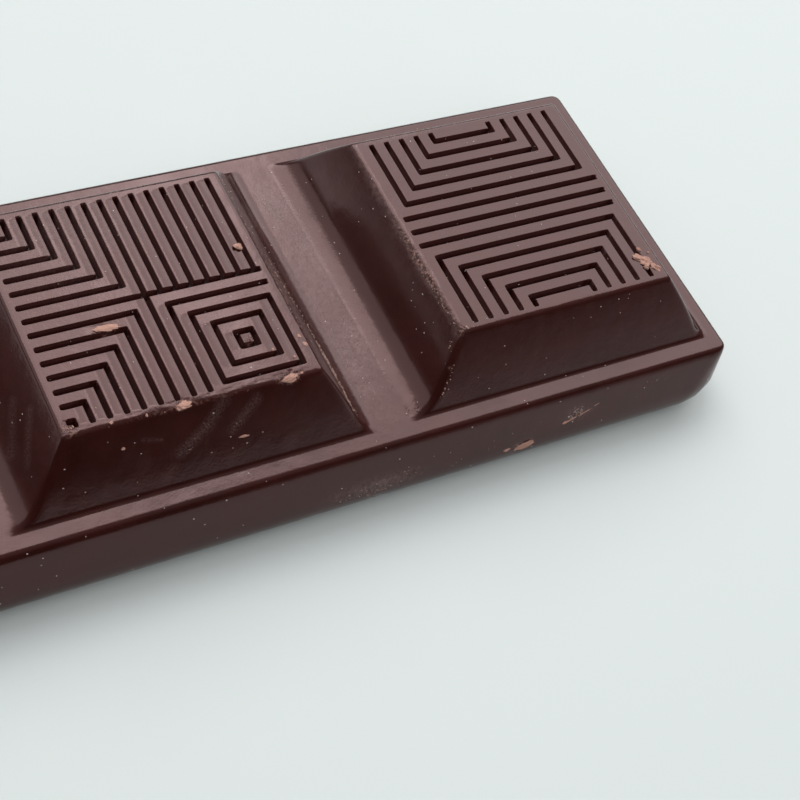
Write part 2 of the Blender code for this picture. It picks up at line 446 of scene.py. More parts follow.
def add_pad_top(bm, index, outer_ring, layers):
    """The flat top as a grid that is fine where the grooves will be."""
    centre_x = PAD_CENTRES[index]
    middle = index == PAD_COUNT // 2
    bar = bpy.context.scene.chocolate_bar
    count = MIDDLE_PAD_LINES if middle else END_PAD_LINES
    pitch = MIDDLE_PAD_LINE_PITCH if middle else END_PAD_LINE_PITCH
    width = bar.middle_groove_width if middle else bar.end_groove_width
    beside = (FAINT_LINE_AT, FAINT_LINE_AT + FAINT_LINE_HALF) if middle else (FAINT_LINE_AT,)
    across = grid_places(count, pitch, width, beside)
    along = grid_places(count, pitch, width, (FAINT_LINE_AT,))
    rows = [[bm.verts.new((centre_x + x, y, PAD_TOP_Z)) for x in across] for y in along]
    for row in rows:
        for vert in row:
            vert[layers["pad_top"]] = 1.0
            vert[layers["middle_pad"]] = float(middle)
    for low, high in zip(rows, rows[1:]):
        for i in range(len(across) - 1):
            bm.faces.new((low[i], low[i + 1], high[i + 1], high[i]))
    right = len(across) - 1
    back = len(along) - 1
    rim = [rows[i][right] for i in range(back)]
    rim += [rows[back][i] for i in range(right, 0, -1)]
    rim += [rows[i][0] for i in range(back, 0, -1)]
    rim += [rows[0][i] for i in range(right)]
    zip_rings(bm, outer_ring, rim, centre_x)


def bend(profile, tilt_from, tilt_to, radius, steps):
    """Carries the side's profile round a curve; tilts are the face's height above level, in degrees."""
    offset, depth = profile[-1]
    start = radians(tilt_from)
    for step in range(1, steps + 1):
        tilt = start + (radians(tilt_to) - start) * step / steps
        profile.append((
            offset + radius * (cos(tilt) - cos(start)),
            depth + radius * (sin(start) - sin(tilt)),
        ))


def wall_profile():
    """(offset outward from the rim's flat, depth below the rim) down the slab's side."""
    profile = [(0.0, 0.0)]
    for tilt_from, tilt_to, radius, steps in RIM_BENDS:
        bend(profile, tilt_from, tilt_to, radius, steps)
    top_offset, top_depth = profile[-1]
    foot_depth = SLAB_HEIGHT - BASE_ROUND * (1 + sin(WALL_DRAFT))
    foot_offset = top_offset + (foot_depth - top_depth) * tan(WALL_DRAFT)
    for step in range(1, WALL_STEPS + 1):
        share = step / WALL_STEPS
        profile.append((
            top_offset + (foot_offset - top_offset) * share,
            top_depth + (foot_depth - top_depth) * share,
        ))
    bend(profile, WALL_TILT, BASE_TILT, BASE_ROUND, BASE_ROUND_STEPS)
    return profile[1:]


def corner_radius(offset, depth):
    """The slab's corners are tight at the rim and open out towards the base."""
    share = min(1.0, depth / (SLAB_HEIGHT - BASE_ROUND))
    radius = RIM_CORNER_RADIUS + (BASE_CORNER_RADIUS - RIM_CORNER_RADIUS) * share
    return radius + min(offset, RIM_ROUND)


def wall_point(rim_point, offset, depth):
    """The point of a lower outline that lies under a point of the rim's outline."""
    radius = corner_radius(offset, depth)
    flat_x = RIM_HALF_LENGTH - RIM_CORNER_RADIUS
    flat_y = RIM_HALF_WIDTH - RIM_CORNER_RADIUS
    low_x = RIM_HALF_LENGTH + offset - radius
    low_y = RIM_HALF_WIDTH + offset - radius
    past_x = max(0.0, abs(rim_point.x) - flat_x)
    past_y = max(0.0, abs(rim_point.y) - flat_y)
    x = min(abs(rim_point.x), flat_x) / flat_x * low_x + past_x / RIM_CORNER_RADIUS * radius
    y = min(abs(rim_point.y), flat_y) / flat_y * low_y + past_y / RIM_CORNER_RADIUS * radius
    x = x if rim_point.x > 0 else -x
    y = y if rim_point.y > 0 else -y
    return Vector((x, y, SLAB_HEIGHT - depth))


def add_wall(bm):
    """The slab's side and underside, hung from the rim's outer edge."""
    bm.edges.ensure_lookup_table()
    border = [edge for edge in bm.edges if edge.is_boundary]
    follow = {}
    for edge in border:
        loop = edge.link_loops[0]
        follow[loop.vert] = loop.link_loop_next.vert
    start = next(iter(follow))
    ring = [start]
    while follow[ring[-1]] is not start:
        ring.append(follow[ring[-1]])
    rim_places = [vert.co.copy() for vert in ring]
    upper = ring
    for offset, depth in wall_profile():
        lower = add_ring(bm, [wall_point(place, offset, depth) for place in rim_places])
        join_rings(bm, lower, upper)
        upper = lower
    for inset in BASE_RINGS:
        inner = []
        for vert in upper:
            inward = Vector((-vert.co.x, -vert.co.y, 0.0))
            inner.append(vert.co + inward.normalized() * inset)
        lower = add_ring(bm, inner)
        join_rings(bm, lower, upper)
        upper = lower
    bm.faces.new(list(reversed(upper)))


def plain_skin():
    """The whole bar before its grooves are cut, as one closed skin."""
    bm = bmesh.new()
    layers = {name: bm.verts.layers.float.new(name) for name in ("pad_top", "middle_pad")}
    for index, centre_x in enumerate(PAD_CENTRES):
        fillets = (
            END_FILLET if index == 0 else VALLEY_FILLET,
            END_FILLET if index == PAD_COUNT - 1 else VALLEY_FAR_FILLET,
        )
        foot = pad_outline(centre_x, 0.0, fillets)
        edge = cell_outline(index)
        outlines = [edge, cell_outline(index, GUARD)]
        outlines += [between(outlines[1], foot, share) for share in RIM_RING_SHARES]
        outlines += [pad_outline(centre_x, height, fillets) for height in pad_heights()]
        outlines.append(pad_outline(centre_x, PAD_RISE, fillets, GUARD))
        rings = [add_ring(bm, points) for points in outlines]
        for outer, inner in zip(rings, rings[1:]):
            join_rings(bm, outer, inner)
        add_pad_top(bm, index, rings[-1], layers)
    bmesh.ops.remove_doubles(bm, verts=bm.verts, dist=SAME_PLACE)
    add_wall(bm)
    bmesh.ops.recalc_face_normals(bm, faces=bm.faces)
    for face in bm.faces:
        face.smooth = True
    mesh = bpy.data.meshes.new("moulded_bar")
    bm.to_mesh(mesh)
    bm.free()
    return mesh


# ---------------------------------------------------------------- the grooves


def end_pad_paths(centre_x, width):
    """Nested U shapes open to the back and to the front, with three straight rows between them."""
    at = line_places(END_PAD_LINES, END_PAD_LINE_PITCH)
    nested = (END_PAD_LINES - 3) // 2
    end = GROOVE_REACH - width / 2
    paths = []
    for k in range(nested):
        for facing in (1, -1):
            bottom = facing * at[END_PAD_LINES - nested + k]
            left = centre_x + at[k]
            right = centre_x - at[k]
            paths.append([(left, facing * end), (left, bottom), (right, bottom), (right, facing * end)])
    for row in at[nested:END_PAD_LINES - nested]:
        paths.append([(centre_x - end, row), (centre_x + end, row)])
    return paths


def middle_pad_paths(centre_x, width):
    """Four quarters: two of nested right angles, one of straight stripes and one of squares."""
    at = line_places(MIDDLE_PAD_LINES, MIDDLE_PAD_LINE_PITCH)
    mid = MIDDLE_PAD_LINES // 2
    end = GROOVE_REACH - width / 2
    paths = []
    for k in range(mid):
        corner = centre_x + at[k]
        paths.append([(centre_x - end, -at[k]), (corner, -at[k]), (corner, end)])
        paths.append([(centre_x - end, at[k]), (corner, at[k]), (corner, -end)])
    gamma = at[mid + 1]
    paths.append([(centre_x + gamma, -end), (centre_x + gamma, -gamma), (centre_x + end, -gamma)])
    paths += [[(centre_x + x, 0.0), (centre_x + x, end)] for x in at[mid + 1:]]
    for k in range((MIDDLE_PAD_LINES - mid - 2) // 2):
        low = at[mid + 2 + k]
        high = at[MIDDLE_PAD_LINES - 1 - k]
        square = [(low, -low), (low, -high), (high, -high), (high, -low), (low, -low)]
        paths.append([(centre_x + x, y) for x, y in square])
    paths.append([(centre_x - end, 0.0), (centre_x + end, 0.0)])
    paths.append([(centre_x, -end), (centre_x, end)])
    return paths


def corner_ridges(path, width):
    """The thin walls that the mould leaves across one groove of every right angle it turns."""
    ridges = []
    gap = width / 2 + RIDGE_AT
    for before, corner, after in zip(path, path[1:], path[2:]):
        upright_first = abs(before[0] - corner[0]) < abs(before[1] - corner[1])
        leg, row = (before, after) if upright_first else (after, before)
        if leg[1] > corner[1] and row[0] < corner[0]:
            x = corner[0] - gap
            ridges.append([(x, corner[1] - width / 2), (x, corner[1] + width / 2)])
        if leg[1] < corner[1] and row[0] > corner[0]:
            y = corner[1] - gap
            ridges.append([(corner[0] - width / 2, y), (corner[0] + width / 2, y)])
    return ridges


def faint_lines(path, width):
    """The faint second line that runs along the -X side of the upright grooves."""
    shift = width / 2 + FAINT_LINE_AT
    return [
        [(start[0] - shift, start[1]), (end[0] - shift, end[1])]
        for start, end in zip(path, path[1:])
        if abs(start[0] - end[0]) < UPRIGHT_WITHIN
    ]


def loose_lines(name, paths):
    """The paths as loose edges at the height of the pads' tops."""
    points = []
    edges = []
    for path in paths:
        first = len(points)
        points += [(x, y, PAD_TOP_Z) for x, y in path]
        edges += [(first + i, first + i + 1) for i in range(len(path) - 1)]
    mesh = bpy.data.meshes.new(name)
    mesh.from_pydata(points, edges, [])
    return in_scene(name, mesh)


def groove_lines():
    """The middle line of every groove, the ridges across them and the faint lines beside them."""
    bar = bpy.context.scene.chocolate_bar
    grooves = []
    ridges = []
    faint = []
    for index, centre_x in enumerate(PAD_CENTRES):
        middle = index == PAD_COUNT // 2
        width = bar.middle_groove_width if middle else bar.end_groove_width
        paths = middle_pad_paths(centre_x, width) if middle else end_pad_paths(centre_x, width)
        grooves += paths
        for path in paths:
            ridges += corner_ridges(path, width)
            if middle:
                faint += faint_lines(path, width)
        if middle:
            at = line_places(MIDDLE_PAD_LINES, MIDDLE_PAD_LINE_PITCH)
            for stripe in at[MIDDLE_PAD_LINES // 2 + 1:]:
                x = centre_x + stripe - width / 2 - RIDGE_AT
                ridges.append([(x, -width / 2), (x, width / 2)])
    return (
        loose_lines("groove_lines", grooves),
        loose_lines("groove_ridges", ridges),
        loose_lines("faint_lines", faint),
    )


def new_tree(name, sockets):
    """A Geometry Nodes tree with a mesh in, a mesh out and the named inputs."""
    tree = bpy.data.node_groups.new(name, "GeometryNodeTree")
    tree.interface.new_socket("Geometry", in_out="INPUT", socket_type="NodeSocketGeometry")
    tree.interface.new_socket("Geometry", in_out="OUTPUT", socket_type="NodeSocketGeometry")
    for label, kind in sockets:
        tree.interface.new_socket(label, in_out="INPUT", socket_type=kind)
    return tree, tree.nodes.new("NodeGroupInput").outputs


def end_tree(tree, geometry, material):
    """Every tree ends in real geometry with its material set."""
    real = add_node(tree, "GeometryNodeRealizeInstances", {"Geometry": geometry})
    done = add_node(tree, "GeometryNodeSetMaterial", {"Geometry": real, "Material": material})
    add_node(tree, "NodeGroupOutput", {0: done})


def made_plain(obj, tree, values):
    """Runs the tree on the object with the given inputs, and keeps the result as its own mesh."""
    modifier = obj.modifiers.new(tree.name, "NODES")
    modifier.node_group = tree
    for item in tree.interface.items_tree:
        if item.item_type == "SOCKET" and item.in_out == "INPUT" and item.name in values:
            modifier[item.identifier] = values[item.name]
    obj.update_tag()
    depsgraph = bpy.context.evaluated_depsgraph_get()
    mesh = bpy.data.meshes.new_from_object(obj.evaluated_get(depsgraph))
    obj.modifiers.remove(modifier)
    if not mesh.polygons:
        raise RuntimeError(f"{tree.name} made no faces")
    mesh.name = obj.name
    obj.data = mesh
    return obj


# Noise in the skin: its name, how wide its forms are in millimetres, and its detail
ROUGH_FORMS = [("waver", 1.3, 3.0), ("faint", 2.5, 2.0), ("hollows", 5.0, 3.0), ("breaks", 0.45, 3.0)]
# The hollows fade out between these heights, so the base stays flat.
HOLLOWS_FROM = (0.3 * MM, 1.5 * MM)
# The noise levels between which a worn edge goes from whole to broken away
RAGGED_LEVELS = (0.35, 0.7)


def groove_tree():
    """Presses the grooves into the pads' tops and makes the skin as uneven as set chocolate."""
    tree, given = new_tree("press_grooves", [
        ("Groove Lines", "NodeSocketObject"),
        ("Ridge Lines", "NodeSocketObject"),
        ("Faint Lines", "NodeSocketObject"),
        ("End Pad Width", "NodeSocketFloat"),
        ("Middle Pad Width", "NodeSocketFloat"),
        ("Depth", "NodeSocketFloat"),
        ("Waver", "NodeSocketFloat"),
        ("Unevenness", "NodeSocketFloat"),
        ("Wear Depth", "NodeSocketFloat"),
        ("Seed", "NodeSocketFloat"),
        ("Material", "NodeSocketMaterial"),
    ])

    add = partial(add_node, tree)
    place = add("GeometryNodeInputPosition")
    normal = add("GeometryNodeInputNormal")

    gaps = {}
    for name in ("Groove Lines", "Ridge Lines", "Faint Lines"):
        lines = add("GeometryNodeObjectInfo", {"Object": given[name]}).outputs["Geometry"]
        nearest = add("GeometryNodeProximity", {"Geometry": lines}, target_element="EDGES")
        gaps[name] = nearest.outputs["Distance"]
    on_ridge, on_faint = (
        add("ShaderNodeMapRange", {"Value": gaps[name], "From Min": far, "From Max": near})
        for name, (near, far) in (("Ridge Lines", RIDGE_SPREAD), ("Faint Lines", FAINT_LINE_SPREAD))
    )
    painted = {}
    for name in ("pad_top", "middle_pad", "wear"):
        node = add("GeometryNodeInputNamedAttribute", {"Name": name}, data_type="FLOAT")
        painted[name] = node.outputs["Attribute"]
    rough = {}
    for name, size, detail in ROUGH_FORMS:
        inputs = {"Vector": place, "W": given["Seed"], "Scale": 1 / (size * MM), "Detail": detail}
        rough[name] = add("ShaderNodeTexNoise", inputs, noise_dimensions="4D")

    def moved_along(geometry, direction, amount):
        offset = add("ShaderNodeVectorMath", {0: direction, "Scale": amount}, operation="SCALE")
        return add("GeometryNodeSetPosition", {"Geometry": geometry, "Offset": offset})

    # The edge only ever wanders inwards, so the flats beside the grooves stay flat.
    waver = add("ShaderNodeMath", (rough["waver"], given["Waver"]), operation="MULTIPLY")
    distance = add("ShaderNodeMath", (gaps["Groove Lines"], waver), operation="ADD")
    half_end = add("ShaderNodeMath", (given["End Pad Width"], 0.5), operation="MULTIPLY")
    half_middle = add("ShaderNodeMath", (given["Middle Pad Width"], 0.5), operation="MULTIPLY")
    widening = add("ShaderNodeMath", (half_middle, half_end), operation="SUBTRACT")
    terms = (widening, painted["middle_pad"], half_end)
    half = add("ShaderNodeMath", terms, operation="MULTIPLY_ADD")
    past_edge = add("ShaderNodeMath", (distance, half), operation="SUBTRACT")
    limits = {"Value": past_edge, "From Min": GROOVE_FLOOR_AT, "From Max": GROOVE_FLAT_AT}
    press = add("ShaderNodeFloatCurve", {"Value": add("ShaderNodeMapRange", limits)})
    fall = press.mapping.curves[0].points
    for at, share in GROOVE_FALL[1:-1]:
        fall.new(at, share)
    for point, at in zip(fall, GROOVE_FALL):
        point.location = at
        point.handle_type = "VECTOR"
    press.mapping.update()

    ridge = add("ShaderNodeMath", (on_ridge, RIDGE_SHARE), operation="MULTIPLY")
    no_ridge = add("ShaderNodeMath", (1.0, ridge), operation="SUBTRACT")
    pressed = add("ShaderNodeMath", (press, no_ridge), operation="MULTIPLY")
    faint = add("ShaderNodeMath", (on_faint, rough["faint"]), operation="MULTIPLY")
    faint = add("ShaderNodeMath", (faint, FAINT_LINE_DEPTH), operation="MULTIPLY")
    faint = add("ShaderNodeMath", (faint, given["Depth"]), operation="DIVIDE")
    pressed = add("ShaderNodeMath", (pressed, faint), operation="MAXIMUM")
    pressed = add("ShaderNodeMath", (pressed, painted["pad_top"]), operation="MULTIPLY")
    geometry = add(
        "GeometryNodeStoreNamedAttribute",
        {"Geometry": given["Geometry"], "Name": "pressed", "Value": pressed},
        data_type="FLOAT",
        domain="POINT",
    )

    # Each change of the skin: which way is out, how far in it goes at most, and the share of that
    height = add("ShaderNodeSeparateXYZ", {0: place}).outputs[2]
    limits = {"Value": height, "From Min": HOLLOWS_FROM[0], "From Max": HOLLOWS_FROM[1]}
    above_base = add("ShaderNodeMapRange", limits)
    hollows = add("ShaderNodeMath", (rough["hollows"], given["Unevenness"]), operation="MULTIPLY")
    breaks = add("ShaderNodeMath", (painted["wear"], given["Wear Depth"]), operation="MULTIPLY")
    limits = {"Value": rough["breaks"], "From Min": RAGGED_LEVELS[0], "From Max": RAGGED_LEVELS[1]}
    ragged = add("ShaderNodeMapRange", limits)
    for direction, most, share in (
        ((0.0, 0.0, 1.0), given["Depth"], pressed),
        (normal, hollows, above_base),
        (normal, breaks, ragged),
    ):
        amount = add("ShaderNodeMath", (most, share), operation="MULTIPLY")
        inward = add("ShaderNodeMath", (amount, -1.0), operation="MULTIPLY")
        geometry = moved_along(geometry, direction, inward)
    end_tree(tree, geometry, given["Material"])
    return tree


# ---------------------------------------------------------------- marks that handling left, and painted highlights

# Past this the fading tail of a mark is left off.
MARK_REACH = 6
# Each mark is a middle point and three half sizes in millimetres, and how strong it is.
WORN_AND_EDGE_HIGHLIGHT_PLACES = [
    # Partly wear and chips, partly painted highlight: pale bands along the front top edges of the middle
    # and right-hand pads.
    ((-1.0, -11.2, 12.6), (10.5, 0.45, 0.5), 0.34),
    ((36.0, -11.2, 12.6), (11.0, 0.3, 0.4), 0.25),
    ((-10.6, -10.7, 12.5), (0.8, 0.8, 0.7), 0.6),
    ((-11.6, -12.0, 11.0), (0.7, 0.7, 1.2), 0.3),
    ((8.2, -11.1, 12.6), (1.2, 0.5, 0.6), 0.9),
    ((-1.3, -11.0, 12.6), (1.0, 0.5, 0.5), 0.8),
    ((24.6, -10.8, 12.4), (0.6, 0.9, 0.7), 0.5),
    ((23.3, -12.9, 10.0), (0.5, 0.5, 2.0), 0.4),
    ((24.7, -4.0, 12.5), (0.35, 7.0, 0.5), 0.7),
    ((24.7, 6.0, 12.5), (0.3, 5.0, 0.5), 0.35),
    ((11.5, -3.0, 12.3), (0.5, 8.5, 0.6), 0.6),
    ((12.9, 0.0, 10.3), (0.8, 5.0, 1.0), 0.7),
    ((14.2, -9.0, 8.3), (0.8, 5.5, 0.9), 0.8),
    ((30.4, -18.5, 2.9), (1.3, 1.0, 0.6), 0.9),
    ((36.0, -17.9, 4.5), (1.6, 1.0, 0.6), 0.5),
    ((-12.9, -18.3, 0.8), (0.9, 0.9, 0.6), 0.8),
    ((15.4, -18.4, 1.2), (1.3, 0.8, 0.7), 0.8),
    ((-4.3, -2.3, 12.7), (1.1, 0.4, 0.4), 1.0),
    ((6.45, -6.6, 12.6), (0.5, 0.5, 0.9), 0.8),
    ((19.9, -14.3, 7.6), (1.0, 0.5, 0.6), 0.5),
]
# Grey bloom on the skin, in the same terms. Some of it is painted highlight: the thin pale lines along the
# pads' top edges beside the valley are partly frost and partly painted highlight, the two along the back
# edges are painted highlights, and the wide patch on the middle pad's back lands is partly bloom and partly
# painted highlight.
BLOOM_AND_HIGHLIGHT_PLACES = [
    ((17.8, 10.0, 7.0), (1.2, 2.6, 1.2), 0.75),
    ((17.6, 2.0, 7.0), (2.2, 4.0, 1.2), 0.35),
    ((17.0, -8.0, 7.0), (1.6, 5.0, 1.2), 0.6),
    ((15.4, -18.3, 3.4), (4.0, 0.8, 0.8), 0.8),
    ((36.0, -17.8, 4.7), (1.5, 0.8, 0.7), 0.7),
    # Partly frost, partly painted highlight: pale lines along the top edges either side of the valley.
    ((11.6, 2.0, 12.2), (0.4, 8.0, 0.6), 0.8),
    ((24.6, 0.0, 12.4), (0.35, 9.0, 0.5), 0.7),
    ((29.0, 11.0, 12.6), (4.0, 0.3, 0.4), 0.6),
    # Painted highlights: thin pale lines along the back top edges of the middle and right-hand pads.
    ((0.0, 11.25, 12.6), (12.0, 0.22, 0.3), 0.9),
    ((36.0, 11.25, 12.6), (12.0, 0.22, 0.3), 0.9),
    ((18.6, 4.0, 7.2), (0.9, 5.0, 1.0), 0.7),
    ((18.4, -6.0, 7.2), (0.8, 3.0, 1.0), 0.8),
    # Partly bloom, partly painted highlight: a wide pale patch on the middle pad's back lands.
    ((-5.0, 7.0, 12.7), (6.0, 5.0, 0.3), 0.35),
    ((16.2, -1.0, 7.1), (1.2, 8.0, 0.5), 0.4),
]
# Thin pale rubs on the skin, and a pale band down the valley that is partly frost and partly painted
# highlight: two ends and a half width in millimetres, and how strong each is.
RUBS_AND_HIGHLIGHTS = [
    ((2.2, -11.4, 12.3), (0.5, -12.52, 10.84), 0.75, 0.8),
    ((0.6, -12.45, 10.9), (-1.9, -13.4, 9.5), 0.75, 0.9),
    ((5.1, -11.8, 11.9), (2.7, -12.98, 10.15), 0.7, 0.8),
    ((-4.9, -12.3, 11.1), (-3.4, -12.6, 10.8), 0.3, 0.5),
    ((-13.0, -5.3, 10.1), (-14.2, -8.8, 8.3), 0.7, 1.0),
    ((-12.3, -7.1, 11.1), (-13.7, -10.6, 9.2), 0.6, 1.0),
    # Partly frost, partly painted highlight: a pale band along the foot of the right-hand pad's side in the
    # valley.
    ((20.7, 13.8, 7.3), (20.4, 2.5, 7.2), 0.55, 0.8),
    ((20.4, 2.5, 7.2), (20.1, -6.0, 7.2), 0.45, 0.4),
    ((12.0, 5.0, 11.3), (14.3, -6.0, 8.1), 0.14, 1.0),
    ((14.3, -6.0, 8.1), (14.5, -13.6, 7.8), 0.16, 1.0),
]


def paint_marks(mesh, name, marks):
    """Stores how strong a kind of mark is at every point of the skin."""
    layer = mesh.attributes.new(name, "FLOAT", "POINT")
    values = []
    for vert in mesh.vertices:
        value = 0.0
        for middle, half_sizes, strength in marks:
            reach = sum(((vert.co[i] / MM - middle[i]) / half_sizes[i]) ** 2 for i in range(3))
            if reach < MARK_REACH:
                value = max(value, strength * exp(-reach))
        values.append(value)
    layer.data.foreach_set("value", values)


def place_piece(piece):
    """Every piece of the bar rides on the bar's one body."""
    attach(piece, "root")
    return piece


class CHOC_OT_moulded_bar(bpy.types.Operator):
    """Build the bar itself: slab, pads and grooves as one skin"""

    bl_idname = "chocolate.moulded_bar"
    bl_label = "Moulded Bar"

    def execute(self, context):
        bar = context.scene.chocolate_bar
        mesh = plain_skin()
        # Wear, with painted highlight along the pads' front edges; bloom, with painted highlight along pad
        # edges and on lands.
        paint_marks(mesh, "wear", WORN_AND_EDGE_HIGHLIGHT_PLACES)
        paint_marks(mesh, "bloom", BLOOM_AND_HIGHLIGHT_PLACES)
        piece = in_scene("moulded_bar", mesh)
        grooves, ridges, faint = groove_lines()
        made_plain(piece, groove_tree(), {
            "Groove Lines": grooves,
            "Ridge Lines": ridges,
            "Faint Lines": faint,
            "End Pad Width": bar.end_groove_width,
            "Middle Pad Width": bar.middle_groove_width,
            "Depth": bar.groove_depth,
            "Waver": bar.groove_waver,
            "Unevenness": bar.unevenness,
            "Wear Depth": bar.wear_depth,
            "Seed": float(bar.seed),
            "Material": moulded_chocolate(),
        })
        for lines in (grooves, ridges, faint):
            bpy.data.objects.remove(lines, do_unlink=True)
        place_piece(piece)
        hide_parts("chocolate_bar")
        return {"FINISHED"}


# ---------------------------------------------------------------- crumbs and dust

UP = (0.0, 0.0, 1.0)
OUT_OF_WALL = (0.0, -0.93, 0.37)
OUT_OF_FRONT_SLOPE = (0.0, -0.84, 0.54)
OUT_OF_LEFT_SLOPE = (-0.84, 0.0, 0.54)
OUT_OF_RIGHT_SLOPE = (0.84, 0.0, 0.54)

# Two ends of each crumb, its half width and half thickness, all in millimetres, and which way is out.
CRUMBS = [
    ((44.9, -8.0, 12.7), (45.6, -8.7, 12.72), 0.36, 0.2, UP),
    ((45.3, -8.5, 12.7), (46.2, -9.3, 12.7), 0.5, 0.22, UP),
    ((46.0, -9.2, 12.65), (46.7, -10.2, 12.62), 0.38, 0.24, UP),
    ((45.9, -8.5, 12.72), (46.3, -8.9, 12.7), 0.24, 0.16, UP),
    ((45.3, -9.3, 12.75), (45.6, -9.7, 12.75), 0.22, 0.16, UP),
    ((-5.3, -2.2, 12.67), (-3.3, -2.4, 12.67), 0.32, 0.06, UP),
    ((45.7, -7.6, 12.75), (45.95, -7.35, 12.7), 0.22, 0.18, UP),
    ((46.5, -7.9, 12.7), (46.6, -8.1, 12.7), 0.12, 0.1, UP),
    ((9.25, 2.8, 12.74), (9.95, 2.5, 12.74), 0.34, 0.17, UP),
    ((6.3, -6.5, 12.2), (6.75, -6.75, 12.3), 0.2, 0.14, UP),
    ((10.62, -7.3, 12.66), (10.78, -7.7, 12.64), 0.16, 0.08, UP),
    ((10.78, -8.2, 12.64), (10.95, -8.6, 12.6), 0.2, 0.1, UP),
    ((9.3, -9.35, 12.7), (9.5, -9.4, 12.7), 0.13, 0.08, UP),
    ((7.9, -8.1, 12.7), (8.05, -8.25, 12.7), 0.12, 0.07, UP),
    ((7.5, -11.2, 12.5), (8.9, -11.05, 12.58), 0.32, 0.2, UP),
    ((9.2, -10.95, 12.6), (9.5, -10.95, 12.6), 0.12, 0.1, UP),
    ((-1.9, -11.05, 12.52), (-0.5, -11.05, 12.56), 0.36, 0.2, UP),
    ((-4.6, -11.05, 12.54), (-4.2, -11.05, 12.54), 0.17, 0.12, UP),
    ((-7.5, -10.95, 12.58), (-7.0, -10.9, 12.58), 0.2, 0.12, UP),
    ((-10.5, -10.6, 12.5), (-10.1, -10.4, 12.56), 0.18, 0.12, UP),
    ((3.2, -13.46, 9.46), (4.0, -13.48, 9.43), 0.11, 0.07, OUT_OF_FRONT_SLOPE),
    ((-6.8, -12.5, 10.9), (-6.5, -12.5, 10.9), 0.12, 0.07, OUT_OF_FRONT_SLOPE),
    ((29.5, -18.46, 2.75), (31.4, -18.4, 3.1), 0.34, 0.14, OUT_OF_WALL),
    ((28.2, -18.42, 2.95), (29.0, -18.4, 3.05), 0.16, 0.08, OUT_OF_WALL),
    ((34.5, -18.06, 4.0), (36.1, -17.9, 4.35), 0.1, 0.06, OUT_OF_WALL),
    ((36.0, -17.9, 4.33), (37.6, -17.74, 4.75), 0.07, 0.05, OUT_OF_WALL),
    ((37.8, -17.7, 4.9), (38.4, -17.62, 5.12), 0.04, 0.03, OUT_OF_WALL),
    ((34.5, -18.04, 4.05), (34.9, -18.0, 4.1), 0.16, 0.07, OUT_OF_WALL),
]

# Grains strewn along a path: its points, how many, how far they stray, their half size, and which
# way is out of the surface, all in millimetres.
GRAIN_LINES = [
    ([(12.2, 6.0, 11.1), (13.5, -1.0, 9.3), (14.2, -5.4, 8.2)], 260, 0.7, 0.075, OUT_OF_RIGHT_SLOPE),
    ([(14.2, -5.4, 8.2), (14.55, -10.0, 7.75), (14.3, -13.5, 8.0)], 280, 0.5, 0.085, OUT_OF_RIGHT_SLOPE),
    ([(11.7, 6.0, 11.9), (11.9, -4.0, 11.6), (12.3, -12.0, 11.1)], 140, 0.4, 0.06, OUT_OF_RIGHT_SLOPE),
    ([(11.5, 10.5, 12.3), (11.9, 5.0, 11.7)], 90, 0.2, 0.05, OUT_OF_RIGHT_SLOPE),
    ([(24.0, -10.95, 11.6), (23.9, -12.0, 11.2), (23.1, -13.3, 9.6), (22.1, -14.2, 8.1)], 110, 0.2, 0.06,
     (-0.5, -0.6, 0.6)),
    ([(24.7, 2.0, 12.45), (24.6, -4.0, 12.4), (24.5, -10.5, 12.4)], 110, 0.2, 0.045, OUT_OF_LEFT_SLOPE),
    ([(24.9, -10.7, 12.66), (26.6, -11.0, 12.6)], 16, 0.12, 0.08, UP),
    ([(11.3, -18.42, 3.05), (13.2, -18.3, 3.4), (15.6, -18.27, 3.45), (17.6, -18.17, 3.7),
      (19.5, -18.05, 4.0)], 150, 0.3, 0.06, OUT_OF_WALL),
    ([(14.2, -18.4, 3.05), (16.4, -18.35, 3.2)], 70, 0.3, 0.07, OUT_OF_WALL),
    ([(35.2, -17.8, 4.6), (36.4, -17.6, 5.1)], 26, 0.3, 0.09, OUT_OF_WALL),
    ([(-10.4, -10.9, 12.4), (-11.6, -12.0, 11.0), (-12.6, -12.9, 9.6)], 40, 0.16, 0.05, (-0.5, -0.6, 0.6)),
    ([(-9.5, -11.0, 12.55), (10.0, -11.05, 12.5)], 40, 0.14, 0.045, UP),
    ([(2.1, -11.5, 12.2), (0.5, -12.55, 10.8), (-1.7, -13.4, 9.55)], 60, 0.24, 0.035, OUT_OF_FRONT_SLOPE),
    ([(4.6, -12.0, 11.5), (2.9, -12.93, 10.3)], 40, 0.2, 0.035, OUT_OF_FRONT_SLOPE),
    ([(26.0, 10.9, 12.66), (33.0, 11.0, 12.66)], 50, 0.16, 0.045, UP),
]

# The palest and finest of them, like frost, in the same terms.
FROST_LINES = [
    ([(16.9, 11.4, 7.0), (17.9, 8.8, 7.0)], 150, 0.35, 0.034, UP),
    ([(17.9, 8.8, 7.0), (18.3, 4.0, 7.0)], 120, 0.5, 0.028, UP),
    ([(19.6, 12.6, 7.1), (19.4, 3.0, 7.05)], 190, 0.3, 0.028, UP),
    ([(17.6, -3.0, 7.0), (17.2, -12.0, 7.0)], 150, 0.9, 0.024, UP),
    ([(13.2, -18.3, 3.3), (17.4, -18.15, 3.75)], 190, 0.34, 0.04, OUT_OF_WALL),
    ([(35.0, -17.95, 4.5), (36.6, -17.75, 5.0)], 40, 0.22, 0.045, OUT_OF_WALL),
    ([(42.6, -17.5, 5.4), (46.2, -17.5, 5.6)], 16, 0.5, 0.035, OUT_OF_WALL),
    ([(22.0, -18.2, 4.0), (33.0, -17.9, 4.4)], 26, 0.5, 0.035, OUT_OF_WALL),
]


